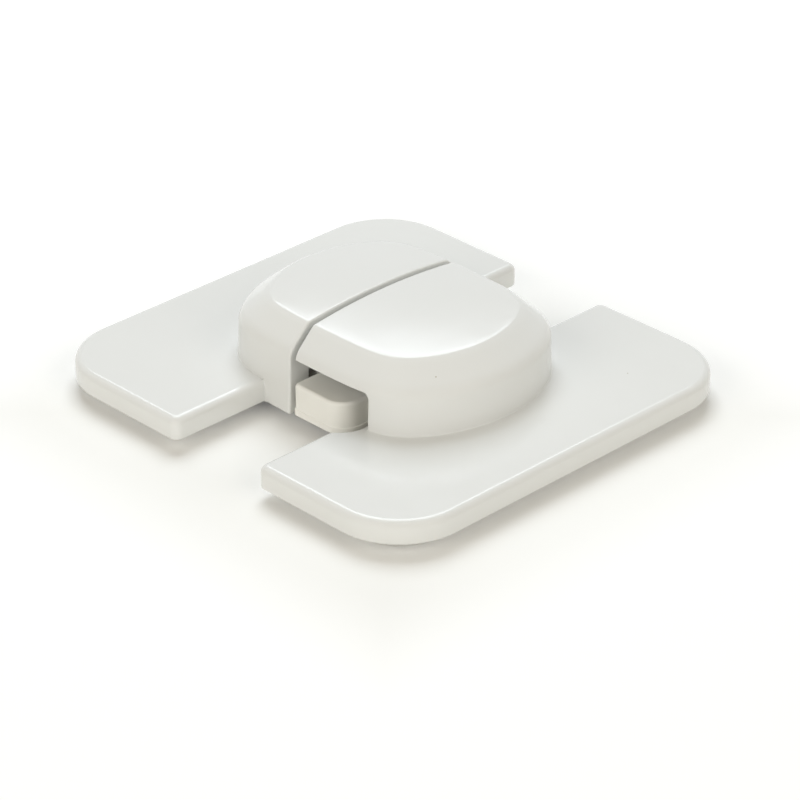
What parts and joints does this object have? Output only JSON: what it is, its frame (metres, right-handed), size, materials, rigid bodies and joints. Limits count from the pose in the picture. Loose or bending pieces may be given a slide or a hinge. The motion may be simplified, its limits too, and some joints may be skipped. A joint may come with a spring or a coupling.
{
  "type": "cabinet safety lock",
  "caption": "Adhesive cabinet safety lock: a split crowned dome on flat wing plates, with squeeze-button levers whose sprung hooks let go of steel pins so that the halves part.",
  "frame": {"origin": "middle of the footprint, on the surface that the pads stick to", "axes": "+X from the strike half to the latch half, +Y along the seam, +Z out of the surface"},
  "size_m": [0.085, 0.08, 0.0187],
  "materials": {
    "cover_white": "gloss moulded",
    "lever_white": "gloss moulded",
    "base_white": "fine matt moulded",
    "steel": "drawn",
    "spring_steel": "drawn wire",
    "foam": "closed-cell foam"
  },
  "bodies": {
    "latch": {"latch_cover": "cover_white", "latch_base": "base_white", "front_pivot_pin": "steel", "rear_pivot_pin": "steel", "front_spring": "spring_steel", "rear_spring": "spring_steel", "latch_screws": "steel", "latch_pad": "foam"},
    "front_lever": {"front_button_lever": "lever_white"},
    "rear_lever": {"rear_button_lever": "lever_white"},
    "strike": {"strike_cover": "cover_white", "strike_base": "base_white", "front_strike_pin": "steel", "rear_strike_pin": "steel", "strike_screws": "steel", "strike_pad": "foam"}
  },
  "joints": [
    {"name": "front_press", "type": "hinge", "parent": "latch", "child": "front_lever", "pos_m": [0.0175, -0.0126, 0.006], "axis": [0, 0, -1], "range_deg": [-3.5, 5], "stiffness_Nm_per_rad": 0.1, "springref_deg": -20.05, "deforming": ["front_spring"]},
    {"name": "rear_press", "type": "hinge", "parent": "latch", "child": "rear_lever", "pos_m": [0.0175, 0.0126, 0.006], "axis": [0, 0, 1], "range_deg": [-3.5, 5], "stiffness_Nm_per_rad": 0.1, "springref_deg": -20.05, "deforming": ["rear_spring"]},
    {"name": "strike_slide", "type": "slide", "parent": "latch", "child": "strike", "axis": [-1, 0, 0], "range_m": [0, 0.04]}
  ]
}
